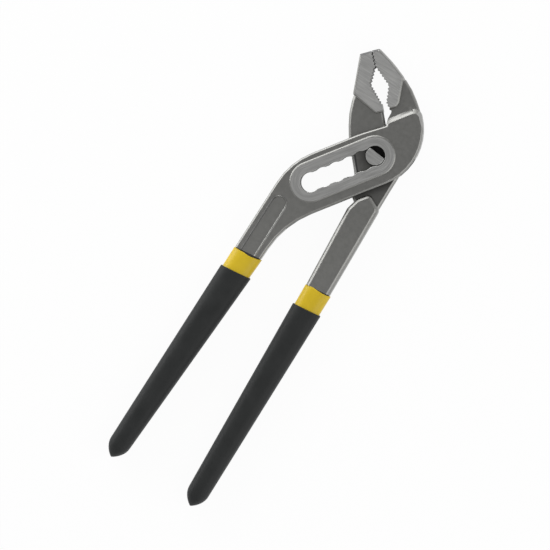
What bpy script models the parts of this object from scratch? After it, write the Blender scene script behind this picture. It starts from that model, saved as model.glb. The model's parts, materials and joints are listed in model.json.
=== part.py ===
"""Water pump pliers with a through joint and a six-notch slot, about 250 mm long.

The slotted lever is a forging with two cheeks and a window between them. The pivot lever's thin
web runs through the window and carries the pin, which sits in one notch of the slot. Each handle
has two dipped coats. The tool lies flat, +Z up, with its handles along -Y and its jaws at +Y.

Both levers are drawn in the slot frame: the pin's axis in the jaw-end notch is the origin, the
slot runs along -X, the jaws point to +Y, and z = 0 is the middle of the thickness.
"""
import math

import bmesh
import bpy
from mathutils import Matrix, Vector

MM = 0.001

# Slot and pin. The pin's flat lies PIN_FLAT from its axis and faces PIN_FLAT_ANGLE from +X.
PIN_RADIUS = 4.5 * MM
PIN_FLAT = 2.0 * MM
PIN_FLAT_ANGLE = 30.0
PIN_CHAMFER = 0.3 * MM
BORE_CLEARANCE = 0.15 * MM
NOTCH_CLEARANCE = 0.7 * MM
CUSP_CLEARANCE = 0.12 * MM
NOTCH_COUNT = 6
NOTCH_PITCH = 7.17 * MM

# Cheeks and the ground border that stands proud round the slot
CHEEK_THICKNESS = 2.8 * MM
BORDER_RISE = 0.5 * MM
BORDER_WIDTH = 5.5 * MM
BORDER_BEVEL = 0.9 * MM
UPPER_LEDGE = 2.7 * MM
LOWER_LEDGE = 4.4 * MM
PLATE_BEVEL = 1.7 * MM

# Window between the cheeks. Its jaw-end side is round the pin, then flares toward the handles.
RUNNING_GAP = 0.3 * MM
HUB_CLEARANCE = 0.45 * MM
WINDOW_END = 20.6 * MM
WINDOW_MOUTH_ANGLE = 49.0
WINDOW_FLARE = 0.17

# Web of the pivot lever, from the neck of its jaw down to its shank
WEB_THICKNESS = 5.4 * MM
WEB_BEVEL = 1.3 * MM
HUB_WALL = 11.5 * MM
WEB_TOP_LEFT = 9.4 * MM
WEB_TOP_RADIUS = 20.0 * MM
WEB_WALL = 9.0 * MM
WEB_WAIST_DROP = 4.7 * MM
WEB_WAIST_RADIUS = 16.0 * MM
WEB_FOOT_LEFT = 19.0 * MM
WEB_FOOT_DROP = 0.5 * MM
WEB_HEEL = 0.1 * MM
WEB_HEEL_DROP = 2.7 * MM
WEB_HEEL_ANGLE = -64.0
WEB_HEEL_INSET = 0.6 * MM
WEB_LAP = 6.0 * MM

# Head and bends of the slotted lever. The ridge is the step where the jaw's neck leaves the plate. It
# slopes at 45 degrees, and the slope goes on down the head's side as a narrower strip. The head's side
# slants in from the ridge toward the lower edge, which it meets in one wide round.
HEAD_REACH = 30.2 * MM
HEAD_FOOT_REACH = 26.0 * MM
HEAD_RADIUS = 30.0 * MM
RIDGE_RISE = 1.8 * MM
RIDGE_STEP = 12.9 * MM
RIDGE_STEP_RADIUS = 0.9 * MM
RIDGE_FOOT_RUN = 1.9 * MM
RIDGE_FOOT_DROP = 3.0 * MM
RIDGE_CORNER_RADIUS = 4.0 * MM
RIDGE_SLOPE = 2.5 * MM
HEAD_STRIP = 1.4 * MM
EDGE_FALL_START = 3.0 * MM
EDGE_FALL_RADIUS = 40.0 * MM
UPPER_BEND_OUT = 5.8 * MM
UPPER_BEND_RADIUS = 38.0 * MM
LOWER_BEND_OUT = 20.8 * MM
LOWER_BEND_RADIUS = 48.0 * MM

# Bite of both jaws. Depths are measured down the bite from the lower end of the flat tips.
JAW_OFFSET = 16.7 * MM
JAW_REACH = 41.6 * MM
BITE_ANGLE = 81.6
TIP_LENGTH = 9.0 * MM
TIP_GAP = 0.4 * MM
MOUTH_WIDTH = 8.6 * MM
RIGHT_MOUTH_DEPTH = 10.1 * MM
LEFT_MOUTH_DEPTH = 7.7 * MM
THROAT_DEPTH = 18.6 * MM
THROAT_GAP = 2.2 * MM
TOOTH_PITCH = 1.7 * MM
TOOTH_DEPTH = 0.7 * MM
BITE_STOCK = 4.0 * MM
JAW_THICKNESS = 10.0 * MM
PAD_BEVEL = 1.1 * MM

# Right jaw, on the slotted lever. Widths are measured from the middle of the bite.
RIGHT_TIP_WIDTH = 4.3 * MM
RIGHT_TIP_RADIUS = 1.2 * MM
RIGHT_PAD_WIDTH = 13.1 * MM
RIGHT_PAD_DEPTH = 8.5 * MM
RIGHT_PAD_SWELL = 0.65 * MM
RIGHT_PAD_SWELL_RADIUS = 30.0 * MM
RIGHT_PAD_FOOT = 22.2 * MM
RIGHT_PAD_CORNER = 7.0 * MM
RIGHT_PAD_CORNER_RADIUS = 4.0 * MM
RIGHT_NECK_THICKNESS = 6.6 * MM
RIGHT_NECK_BEVEL = 1.2 * MM
RIGHT_NECK_INSET = 0.1 * MM
RIGHT_NECK_SWELL = 9.0 * MM
RIGHT_NECK_RADIUS = 40.0 * MM
RIGHT_NECK_ROOT = 6.0 * MM
RIGHT_NECK_LAP = 5.0 * MM
FLARE_GAP = 4.8 * MM
FLARE_DEPTH = 24.2 * MM

# Left jaw, on the pivot lever. Its neck is as thick as the web.
LEFT_TIP_WIDTH = 6.0 * MM
LEFT_TIP_RADIUS = 0.9 * MM
LEFT_TIP_DROP = 0.3 * MM
LEFT_PAD_WIDTH = 14.3 * MM
LEFT_PAD_DEPTH = 10.5 * MM
LEFT_PAD_CORNER = 5.3 * MM
LEFT_PAD_FOOT = 22.7 * MM
LEFT_NECK_INSET = 0.2 * MM
LEFT_NECK_OUT = 4.9 * MM
LEFT_NECK_RISE = 11.8 * MM
LEFT_NECK_RADIUS = 40.0 * MM
LEFT_NECK_LAP = 5.3 * MM
NECK_FOOT_GAP = 3.2 * MM
NECK_FOOT_DEPTH = 29.6 * MM

# Lines of the two handles. The collar is where a tang leaves its shank and the coats begin.
SLOTTED_HANDLE_ANGLE = 214.1
PIVOT_HANDLE_ANGLE = 217.4
DIP_ANGLE = -48.0
SLOTTED_COLLAR_OUT = 43.1 * MM
SLOTTED_COLLAR_DOWN = 21.8 * MM
PIVOT_COLLAR_OUT = 52.8 * MM
PIVOT_COLLAR_DOWN = 52.7 * MM
SLOTTED_COLLAR_WIDTH = 13.8 * MM
PIVOT_COLLAR_WIDTH = 12.6 * MM

# Shanks, and the shoulder where the pivot lever's shank meets its web
SHANK_TAPER = 36.0 * MM
SHANK_BEVEL = 1.8 * MM
SHANK_LEDGE = 0.15 * MM
SHANK_STOCK = 6.0 * MM
SHOULDER_THICKNESS = 10.8 * MM
SHOULDER_DROP = 1.8 * MM
SHOULDER_RIGHT = 9.8 * MM
SHOULDER_LEFT = 17.0 * MM
SHOULDER_RADIUS = 2.5 * MM
SHANK_LEFT = 23.2 * MM
SHANK_LEFT_DROP = 2.5 * MM
SHANK_RIGHT = 8.4 * MM
SHANK_RIGHT_DROP = 9.5 * MM
SHANK_RIGHT_RADIUS = 4.0 * MM

# Tangs and the coats dipped over them. A section is an oval of SECTION_POWER, 2 for an ellipse.
TANG_ROOT = 5.0 * MM
TANG_END_WIDTH = 7.9 * MM
SLOTTED_TANG_LENGTH = 123.8 * MM
PIVOT_TANG_LENGTH = 126.3 * MM
TANG_NOSE = 7.0 * MM
NOSE_TURN = 82.0
NOSE_WIDTH_POWER = 0.85
NOSE_HEIGHT_POWER = 0.5
SECTION_POWER = 2.6
COAT_GAP = 0.25 * MM
UNDERCOAT_WALL = 0.6 * MM
OVERCOAT_WALL = 0.6 * MM
BAND_LENGTH = 11.3 * MM
LIP_HEIGHT = 0.6 * MM
LIP_ROUND = 0.3 * MM

# Raised rim round the bare label panel on the slotted shank
RIM_LENGTH = 30.0 * MM
RIM_STOCK = 4.0 * MM
RIM_OUTER_WIDTH = 8.6 * MM
RIM_WIDTH = 0.9 * MM
RIM_RISE = 0.35 * MM
RIM_BEVEL = 0.3 * MM
RIM_SHIFT = 0.9 * MM

# How far cutters reach past what they cut
OVERRUN = 30.0 * MM
SLOPE_OVERRUN = 0.6 * MM
COAT_OVERRUN = 8.0 * MM

# How finely round stretches are divided, and which edges count as sharp
ARC_STEP = 9.0
STEP_SLACK = 0.0001
PIN_SIDES = 48
RING_SIDES = 28
BODY_RINGS = 6
NOSE_RINGS = 5
BEVEL_ANGLE = 30.0
SMOOTH_ANGLE = 35.0
WELD = 0.001 * MM

# Sizes that follow from those above
NOTCH_RADIUS = PIN_RADIUS + NOTCH_CLEARANCE
CUSP_HALF_GAP = PIN_RADIUS + CUSP_CLEARANCE
TRAVEL = (NOTCH_COUNT - 1) * NOTCH_PITCH
WEB_HALF = WEB_THICKNESS / 2
WINDOW_HALF = WEB_HALF + RUNNING_GAP
PLATE_HALF = WINDOW_HALF + CHEEK_THICKNESS
BORDER_HALF = PLATE_HALF + BORDER_RISE
BORDER_RADIUS = NOTCH_RADIUS + BORDER_WIDTH
UPPER_EDGE = BORDER_RADIUS + UPPER_LEDGE
LOWER_EDGE = -BORDER_RADIUS - LOWER_LEDGE
RIDGE = UPPER_EDGE + RIDGE_RISE
HUB_RADIUS = PIN_RADIUS + HUB_WALL
WEB_WAIST_LEFT = PIN_RADIUS + WEB_WALL
WINDOW_RADIUS = HUB_RADIUS + HUB_CLEARANCE
SHOULDER = LOWER_EDGE - SHOULDER_DROP
OVERCOAT_OFFSET = 2 * COAT_GAP + UNDERCOAT_WALL + OVERCOAT_WALL
TANG_HALF = BORDER_HALF - OVERCOAT_OFFSET
HANDLES_DOWN = 270.0 - (SLOTTED_HANDLE_ANGLE + PIVOT_HANDLE_ANGLE) / 2


class Handle:
    """The line of one handle: the middle of its collar, its direction and its widths."""

    def __init__(self, collar, angle, outer_side, collar_width, length):
        self.collar = Vector(collar)
        self.along = direction(angle)
        self.across = outer_side * Vector((-self.along.y, self.along.x))
        self.collar_half = collar_width / 2
        self.length = length
        dip = direction(DIP_ANGLE)
        self.slant = dip.dot(self.along) / dip.dot(self.across)

    def half_width(self, distance):
        """Half the tang's width at a distance from the collar."""
        share = distance / (self.length - TANG_NOSE)
        return self.collar_half + share * (TANG_END_WIDTH / 2 - self.collar_half)

    def point(self, distance, side):
        """A point in the slot frame, by its distance from the collar and from the axis."""
        place = self.collar + distance * self.along + side * self.across
        return (place.x, place.y)


def direction(degrees):
    """A unit vector at an angle from +X."""
    return Vector((math.cos(math.radians(degrees)), math.sin(math.radians(degrees))))


def arc(centre, radius, start, end):
    """Points on an arc, from one angle to another, with no step wider than ARC_STEP."""
    steps = max(1, math.ceil(abs(end - start) / ARC_STEP - STEP_SLACK))
    places = [Vector(centre) + radius * direction(start + (end - start) * i / steps)
              for i in range(steps + 1)]
    return [(place.x, place.y) for place in places]


def rounded(corners):
    """An outline from corners (x, y) or (x, y, radius), with each radius as an arc that its sides limit."""
    places = [Vector(corner[:2]) for corner in corners]
    radii = [corner[2] if len(corner) > 2 else 0.0 for corner in corners]
    following = [(i + 1) % len(places) for i in range(len(places))]
    slopes = [math.tan((places[i - 1] - here).angle(places[following[i]] - here) / 2)
              for i, here in enumerate(places)]
    reaches = [radius / slope for radius, slope in zip(radii, slopes)]
    outline = []
    for i, here in enumerate(places):
        if radii[i] == 0.0:
            outline.append((here.x, here.y))
            continue
        before, after = places[i - 1] - here, places[following[i]] - here
        share = min(1.0, before.length / (reaches[i - 1] + reaches[i]),
                    after.length / (reaches[i] + reaches[following[i]]))
        reach = reaches[i] * share
        radius = radii[i] * share
        centre = here + (before.normalized() + after.normalized()).normalized() * math.hypot(reach, radius)
        start = here + before.normalized() * reach - centre
        end = here + after.normalized() * reach - centre
        first = math.degrees(math.atan2(start.y, start.x))
        turn = math.degrees(math.atan2(start.cross(end), start.dot(end)))
        outline += arc(centre, radius, first, first + turn)
    return outline


def bite(across, along):
    """A point in the slot frame, from one in the jaws' frame on the line where the tips meet."""
    up = direction(BITE_ANGLE)
    right = Vector((up.y, -up.x))
    place = Vector((JAW_OFFSET, JAW_REACH)) + across * right + along * up
    return (place.x, place.y)


def teeth(start, end, depth):
    """Serrations along a straight stretch of bite, cut to one side by depth."""
    first, last = Vector(start), Vector(end)
    run = last - first
    count = max(1, round(run.length / TOOTH_PITCH))
    side = Vector((-run.y, run.x)).normalized() * depth
    outline = []
    for i in range(count):
        outline.append(first + run * i / count)
        outline.append(first + run * (i + 0.5) / count + side)
    return [(place.x, place.y) for place in outline]


def collect(mesh, name, collection):
    """A new object for a mesh."""
    obj = bpy.data.objects.new(name, mesh)
    collection.objects.link(obj)
    return obj


def plate(name, outline, half_thickness, collection, base=0.0):
    """A flat solid from an outline, as thick on both sides of the height base."""
    curve = bpy.data.curves.new(name, "CURVE")
    curve.dimensions = "2D"
    curve.fill_mode = "BOTH"
    curve.extrude = half_thickness
    spline = curve.splines.new("POLY")
    spline.points.add(len(outline) - 1)
    for point, (x, y) in zip(spline.points, outline):
        point.co = (x, y, 0.0, 1.0)
    spline.use_cyclic_u = True
    drawn = collect(curve, name + "_outline", collection)
    evaluated = drawn.evaluated_get(bpy.context.evaluated_depsgraph_get())
    mesh = bpy.data.meshes.new_from_object(evaluated)
    bpy.data.objects.remove(drawn)
    bpy.data.curves.remove(curve)
    mesh.name = name
    form = bmesh.new()
    form.from_mesh(mesh)
    bmesh.ops.remove_doubles(form, verts=form.verts, dist=WELD)
    for up in (1.0, -1.0):
        bmesh.ops.dissolve_faces(form, faces=[f for f in form.faces if f.normal.z * up > 0.5])
    bmesh.ops.translate(form, verts=form.verts, vec=(0.0, 0.0, base))
    bmesh.ops.recalc_face_normals(form, faces=form.faces)
    form.to_mesh(mesh)
    form.free()
    return collect(mesh, name, collection)


def bar(name, handle, sections, collection):
    """A rounded bar along a handle, lofted through sections (distance, half width, half thickness,
    share of the dip's slant)."""
    form = bmesh.new()
    rings = []
    for distance, half_width, half_thickness, slant in sections:
        ring = []
        for i in range(RING_SIDES):
            turn = direction(360.0 * (i + 0.5) / RING_SIDES)
            side = half_width * math.copysign(abs(turn.x) ** (2 / SECTION_POWER), turn.x)
            height = half_thickness * math.copysign(abs(turn.y) ** (2 / SECTION_POWER), turn.y)
            x, y = handle.point(distance + side * handle.slant * slant, side)
            ring.append(form.verts.new((x, y, height)))
        rings.append(ring)
    for near, far in zip(rings, rings[1:]):
        for i in range(RING_SIDES):
            form.faces.new((near[i - 1], near[i], far[i], far[i - 1]))
    form.faces.new(rings[0])
    form.faces.new(rings[-1])
    bmesh.ops.recalc_face_normals(form, faces=form.faces)
    mesh = bpy.data.meshes.new(name)
    form.to_mesh(mesh)
    form.free()
    return collect(mesh, name, collection)


def tang_sections(handle, start, offset, lip=0.0):
    """Sections of a tang, or of a coat's surface that lies offset outside it, from start to its nose."""
    sections = []
    if lip > 0.0:
        sections.append((start, handle.half_width(start) + offset - lip, TANG_HALF + offset - lip, 1.0))
        start += LIP_HEIGHT
    body_end = handle.length - TANG_NOSE
    for i in range(BODY_RINGS + 1):
        distance = start + (body_end - start) * i / BODY_RINGS
        slant = max(0.0, 1.0 - i / 2)
        sections.append((distance, handle.half_width(distance) + offset, TANG_HALF + offset, slant))
    for i in range(1, NOSE_RINGS + 1):
        reach = math.sin(math.radians(NOSE_TURN * i / NOSE_RINGS))
        width_left = (1.0 - reach * reach) ** NOSE_WIDTH_POWER
        height_left = (1.0 - reach * reach) ** NOSE_HEIGHT_POWER
        sections.append((body_end + (TANG_NOSE + offset) * reach,
                         (TANG_END_WIDTH / 2 + offset) * width_left,
                         (TANG_HALF + offset) * height_left, 0.0))
    return sections


def bevel(obj, width, segments):
    """Rounded edges, on edges sharper than BEVEL_ANGLE."""
    modifier = obj.modifiers.new("edge", "BEVEL")
    modifier.width = width
    modifier.segments = segments
    modifier.limit_method = "ANGLE"
    modifier.angle_limit = math.radians(BEVEL_ANGLE)


def combine(obj, other, operation, solver="EXACT"):
    """A Boolean of an object with another, which becomes a hidden guide that moves with it."""
    modifier = obj.modifiers.new(operation.lower() + "_" + other.name, "BOOLEAN")
    modifier.operation = operation
    modifier.object = other
    modifier.solver = solver
    other.parent = obj
    other.hide_render = True
    other.display_type = "WIRE"


def shank_profile(name, handle, thick_half, collection):
    """The side view of a shank: thick at the joint, down to the tang's thickness at the collar."""
    far = 2 * handle.length
    tang_half = TANG_HALF + SHANK_LEDGE
    upper = [(-far, thick_half), (-SHANK_TAPER, thick_half), (0.0, tang_half), (OVERRUN, tang_half)]
    outline = upper + [(distance, -height) for distance, height in reversed(upper)]
    side_view = plate(name, outline, far, collection)
    along, across = handle.along, handle.across
    turn = Matrix(((along.x, 0.0, across.x, handle.collar.x),
                   (along.y, 0.0, across.y, handle.collar.y),
                   (0.0, 1.0, 0.0, 0.0),
                   (0.0, 0.0, 0.0, 1.0)))
    side_view.data.transform(turn)
    if turn.determinant() < 0.0:
        side_view.data.flip_normals()
    return side_view


def collar_trim(name, handle, collection):
    """A cutter that ends a shank along the level at which the handle was dipped."""
    ends = ((-OVERRUN, 0.0), (OVERRUN, 0.0), (OVERRUN, OVERRUN), (-OVERRUN, OVERRUN))
    corners = [handle.point(end + side * handle.slant - COAT_GAP, side) for side, end in ends]
    return plate(name, corners, 2 * BORDER_HALF, collection)


def principled(name, colour, roughness, metallic):
    """A plain material."""
    material = bpy.data.materials.new(name)
    material.use_nodes = True
    shader = material.node_tree.nodes["Principled BSDF"]
    shader.inputs["Base Color"].default_value = (*colour, 1.0)
    shader.inputs["Roughness"].default_value = roughness
    shader.inputs["Metallic"].default_value = metallic
    return material


def right_bite():
    """The slotted lever's side of the mouth, from above the tips to the flare below the throat."""
    tip = bite(TIP_GAP / 2, TIP_LENGTH + TOOTH_PITCH)
    knee = bite(TIP_GAP / 2, 0.0)
    root = bite(MOUTH_WIDTH / 2, -RIGHT_MOUTH_DEPTH)
    throat = bite(THROAT_GAP / 2, -THROAT_DEPTH)
    flare = bite(FLARE_GAP / 2, -FLARE_DEPTH)
    edge = teeth(tip, knee, TOOTH_DEPTH) + teeth(knee, root, TOOTH_DEPTH)
    return edge + teeth(root, throat, TOOTH_DEPTH) + teeth(throat, flare, TOOTH_DEPTH) + [flare]


def left_bite():
    """The pivot lever's side of the mouth, from above the tips to below the throat."""
    tip = bite(-TIP_GAP / 2, TIP_LENGTH + TOOTH_PITCH)
    knee = bite(-TIP_GAP / 2, 0.0)
    root = bite(-MOUTH_WIDTH / 2, -LEFT_MOUTH_DEPTH)
    throat = bite(-THROAT_GAP / 2, -THROAT_DEPTH)
    edge = teeth(tip, knee, TOOTH_DEPTH) + teeth(knee, root, -TOOTH_DEPTH)
    return edge + teeth(root, throat, -TOOTH_DEPTH) + [throat]


def slot_outline():
    """The scalloped slot: a row of round notches, with the cusps between them cut back."""
    cusp = math.degrees(math.asin(CUSP_HALF_GAP / NOTCH_RADIUS))
    centres = [(-i * NOTCH_PITCH, 0.0) for i in range(NOTCH_COUNT)]
    outline = arc(centres[0], NOTCH_RADIUS, cusp - 180.0, 180.0 - cusp)
    for centre in centres[1:-1]:
        outline += arc(centre, NOTCH_RADIUS, cusp, 180.0 - cusp)
    outline += arc(centres[-1], NOTCH_RADIUS, cusp, 360.0 - cusp)
    for centre in reversed(centres[1:-1]):
        outline += arc(centre, NOTCH_RADIUS, 180.0 + cusp, 360.0 - cusp)
    return outline


def stadium(near, far, radius):
    """A slot with round ends between two points."""
    line = Vector(far) - Vector(near)
    angle = math.degrees(math.atan2(line.y, line.x))
    return (arc(near, radius, angle + 90.0, angle + 270.0)
            + arc(far, radius, angle - 90.0, angle + 90.0))


def window_outline():
    """The window between the cheeks: as wide as the web needs in every notch at every opening."""
    above, below = UPPER_EDGE + OVERRUN, LOWER_EDGE - OVERRUN
    left = -TRAVEL - WINDOW_END
    mouth = direction(WINDOW_MOUTH_ANGLE) * WINDOW_RADIUS
    round_end = arc((0.0, 0.0), WINDOW_RADIUS, WINDOW_MOUTH_ANGLE, 0.0)
    foot = WINDOW_RADIUS - WINDOW_FLARE * below
    return [(left, below), (left, above), (mouth.x, above)] + round_end + [(foot, below)]


def head_side(y):
    """How far the head's side reaches at a distance above the slot's middle line."""
    slant = (HEAD_REACH - HEAD_FOOT_REACH) / (RIDGE - LOWER_EDGE)
    return HEAD_REACH + (y - RIDGE) * slant


def ridge_form(name, far, collection):
    """A plate past the whole lever, with one side on the ridge, whose slanted edges shape the slope."""
    side = RIDGE_SLOPE - HEAD_STRIP
    start = RIDGE_STEP - 2 * RIDGE_SLOPE
    form = plate(name, rounded([
        (HEAD_REACH + side, RIDGE, RIDGE_CORNER_RADIUS + side),
        (start, RIDGE),
        (start, RIDGE + OVERRUN),
        (-far, RIDGE + OVERRUN),
        (-far, -far),
        (head_side(-far) + side, -far),
    ]), PLATE_HALF + SLOPE_OVERRUN, collection)
    bevel(form, RIDGE_SLOPE + SLOPE_OVERRUN, 1)
    return form


def build_slotted_lever(handle, parts, guides):
    """Two cheeks, head, shank and tang, with the right jaw."""
    ridge_foot = (RIDGE_STEP - RIDGE_FOOT_RUN, RIDGE - RIDGE_FOOT_DROP)
    half = handle.collar_half + SHANK_LEDGE
    corners = [
        (RIDGE_STEP, RIDGE, RIDGE_STEP_RADIUS),
        ridge_foot,
        (-EDGE_FALL_START, UPPER_EDGE, EDGE_FALL_RADIUS),
        (-TRAVEL - UPPER_BEND_OUT, UPPER_EDGE, UPPER_BEND_RADIUS),
        handle.point(SHANK_STOCK, half),
        handle.point(SHANK_STOCK, -half),
        (-TRAVEL - LOWER_BEND_OUT, LOWER_EDGE, LOWER_BEND_RADIUS),
        (head_side(LOWER_EDGE), LOWER_EDGE, HEAD_RADIUS),
        (HEAD_REACH, RIDGE, RIDGE_CORNER_RADIUS),
    ]
    lever = plate("slotted_lever", rounded(corners), 2 * PLATE_HALF, parts)
    combine(lever, shank_profile("slotted_side_view", handle, PLATE_HALF, guides), "INTERSECT")
    bevel(lever, PLATE_BEVEL, 2)
    combine(lever, ridge_form("ridge_form", 2 * handle.length, guides), "INTERSECT", "MANIFOLD")

    rim_start = handle.point(-RIM_LENGTH, RIM_SHIFT)
    rim_end = handle.point(RIM_STOCK, 0.0)
    rim = plate("label_rim", stadium(rim_start, rim_end, RIM_OUTER_WIDTH / 2), RIM_RISE, guides)
    panel = plate("label_panel", stadium(rim_start, rim_end, RIM_OUTER_WIDTH / 2 - RIM_WIDTH),
                  2 * RIM_RISE, guides)
    combine(rim, panel, "DIFFERENCE")
    bevel(rim, RIM_BEVEL, 1)
    slope = (TANG_HALF + SHANK_LEDGE - PLATE_HALF) / SHANK_TAPER
    lift = Matrix.Identity(4)
    lift[2][0] = slope * handle.along.x
    lift[2][1] = slope * handle.along.y
    lift[2][3] = TANG_HALF + SHANK_LEDGE - slope * handle.collar.dot(handle.along)
    rim.data.transform(lift)
    panel.data.transform(lift)
    combine(lever, rim, "UNION")

    combine(lever, collar_trim("slotted_collar_trim", handle, guides), "DIFFERENCE")
    tang = bar("slotted_tang", handle, tang_sections(handle, -TANG_ROOT, 0.0), guides)
    combine(lever, tang, "UNION")

    border = plate("slot_border", stadium((0.0, 0.0), (-TRAVEL, 0.0), BORDER_RADIUS), BORDER_HALF, guides)
    bevel(border, BORDER_BEVEL, 2)
    combine(lever, border, "UNION")

    pad_end = bite(RIGHT_PAD_WIDTH, -RIGHT_PAD_DEPTH)
    neck_root = RIDGE - RIGHT_NECK_ROOT
    neck = plate("right_neck", rounded([
        (head_side(neck_root) - RIGHT_NECK_INSET, neck_root),
        (HEAD_REACH - RIGHT_NECK_INSET, RIDGE + RIGHT_NECK_SWELL, RIGHT_NECK_RADIUS),
        pad_end,
        bite(RIGHT_PAD_WIDTH - RIGHT_NECK_LAP, -RIGHT_PAD_DEPTH),
        bite(-BITE_STOCK, -THROAT_DEPTH),
        (RIDGE_STEP - BITE_STOCK, RIDGE - RIDGE_FOOT_DROP),
        (RIDGE_STEP + RIDGE_FOOT_RUN, neck_root),
    ]), RIGHT_NECK_THICKNESS / 2, guides)
    bevel(neck, RIGHT_NECK_BEVEL, 2)
    combine(lever, neck, "UNION")
    swell = (RIGHT_TIP_WIDTH + RIGHT_PAD_WIDTH) / 2 + RIGHT_PAD_SWELL
    pad = plate("right_pad", rounded([
        (*bite(swell, (TIP_LENGTH - RIGHT_PAD_DEPTH) / 2), RIGHT_PAD_SWELL_RADIUS),
        (*bite(RIGHT_TIP_WIDTH, TIP_LENGTH), RIGHT_TIP_RADIUS),
        bite(-BITE_STOCK, TIP_LENGTH),
        bite(-BITE_STOCK, -RIGHT_PAD_FOOT),
        (*bite(RIGHT_PAD_CORNER, -RIGHT_PAD_FOOT), RIGHT_PAD_CORNER_RADIUS),
        pad_end,
    ]), JAW_THICKNESS / 2, guides)
    bevel(pad, PAD_BEVEL, 2)
    combine(lever, pad, "UNION")

    mouth = plate("right_mouth", right_bite() + [
        (RIDGE_STEP, RIDGE),
        ridge_foot,
        bite(-LEFT_PAD_WIDTH, -NECK_FOOT_DEPTH),
        bite(-LEFT_PAD_WIDTH, TIP_LENGTH + TOOTH_PITCH),
    ], 2 * PLATE_HALF, guides)
    combine(lever, mouth, "DIFFERENCE")
    combine(lever, plate("window", window_outline(), WINDOW_HALF, guides), "DIFFERENCE")
    combine(lever, plate("slot", slot_outline(), 2 * BORDER_HALF, guides), "DIFFERENCE")
    return lever


def build_pivot_lever(handle, parts, guides):
    """The web with its hub and bore, the left jaw, the shank and the tang."""
    pad_end = bite(-LEFT_PAD_WIDTH, -LEFT_PAD_DEPTH)
    neck_foot = bite(-NECK_FOOT_GAP / 2, -NECK_FOOT_DEPTH)
    throat = bite(-THROAT_GAP / 2, -THROAT_DEPTH)
    neck_angle = math.degrees(math.atan2(neck_foot[1], neck_foot[0]))
    outline = rounded([
        bite(LEFT_NECK_INSET - LEFT_PAD_WIDTH, -LEFT_NECK_INSET - LEFT_PAD_DEPTH),
        (-LEFT_NECK_OUT, UPPER_EDGE + LEFT_NECK_RISE, LEFT_NECK_RADIUS),
        (-WEB_TOP_LEFT, UPPER_EDGE, WEB_TOP_RADIUS),
        (-WEB_WAIST_LEFT, -WEB_WAIST_DROP, WEB_WAIST_RADIUS),
        (-WEB_FOOT_LEFT, LOWER_EDGE - WEB_FOOT_DROP),
        (-WEB_FOOT_LEFT, SHOULDER - SHANK_LEFT_DROP),
        (-SHOULDER_LEFT, SHOULDER - WEB_LAP),
        (-SHOULDER_RIGHT - SHOULDER_RADIUS, SHOULDER - SHANK_RIGHT_DROP),
        (-SHANK_RIGHT, SHOULDER - SHANK_RIGHT_DROP + WEB_HEEL_INSET),
        (-WEB_HEEL, SHOULDER - WEB_HEEL_DROP),
    ])
    outline += arc((0.0, 0.0), HUB_RADIUS, WEB_HEEL_ANGLE, neck_angle)
    outline += [throat, bite(-LEFT_NECK_LAP, -THROAT_DEPTH),
                bite(LEFT_NECK_LAP - LEFT_PAD_WIDTH, -LEFT_PAD_DEPTH)]
    lever = plate("pivot_lever", outline, WEB_HALF, parts)
    bevel(lever, WEB_BEVEL, 2)

    pad = plate("left_pad", rounded([
        (*bite(-LEFT_TIP_WIDTH, TIP_LENGTH - LEFT_TIP_DROP), LEFT_TIP_RADIUS),
        pad_end,
        bite(-LEFT_PAD_CORNER, -LEFT_PAD_FOOT),
        bite(BITE_STOCK, -LEFT_PAD_FOOT),
        bite(BITE_STOCK, TIP_LENGTH),
    ]), JAW_THICKNESS / 2, guides)
    bevel(pad, PAD_BEVEL, 2)
    combine(lever, pad, "UNION")

    half = handle.collar_half + SHANK_LEDGE
    shank = plate("pivot_shank", rounded([
        (-SHOULDER_RIGHT, SHOULDER, SHOULDER_RADIUS),
        (-SHOULDER_LEFT, SHOULDER, SHOULDER_RADIUS),
        (-SHANK_LEFT, SHOULDER - SHANK_LEFT_DROP, SHOULDER_RADIUS),
        handle.point(SHANK_STOCK, -half),
        handle.point(SHANK_STOCK, half),
        (-SHANK_RIGHT, SHOULDER - SHANK_RIGHT_DROP, SHANK_RIGHT_RADIUS),
    ]), 2 * PLATE_HALF, guides)
    side_view = shank_profile("pivot_side_view", handle, SHOULDER_THICKNESS / 2, guides)
    combine(shank, side_view, "INTERSECT")
    bevel(shank, SHANK_BEVEL, 2)
    combine(shank, collar_trim("pivot_collar_trim", handle, guides), "DIFFERENCE")
    tang = bar("pivot_tang", handle, tang_sections(handle, -TANG_ROOT, 0.0), guides)
    combine(shank, tang, "UNION")
    combine(lever, shank, "UNION")

    mouth = plate("left_mouth", left_bite() + [
        neck_foot,
        bite(RIGHT_PAD_WIDTH, -NECK_FOOT_DEPTH),
        bite(RIGHT_PAD_WIDTH, TIP_LENGTH + TOOTH_PITCH),
    ], 2 * PLATE_HALF, guides)
    combine(lever, mouth, "DIFFERENCE")
    circle = arc((0.0, 0.0), PIN_RADIUS + BORE_CLEARANCE, 0.0, 360.0 - 360.0 / PIN_SIDES)
    combine(lever, plate("pin_bore", circle, 2 * BORDER_HALF, guides), "DIFFERENCE")
    return lever


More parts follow.
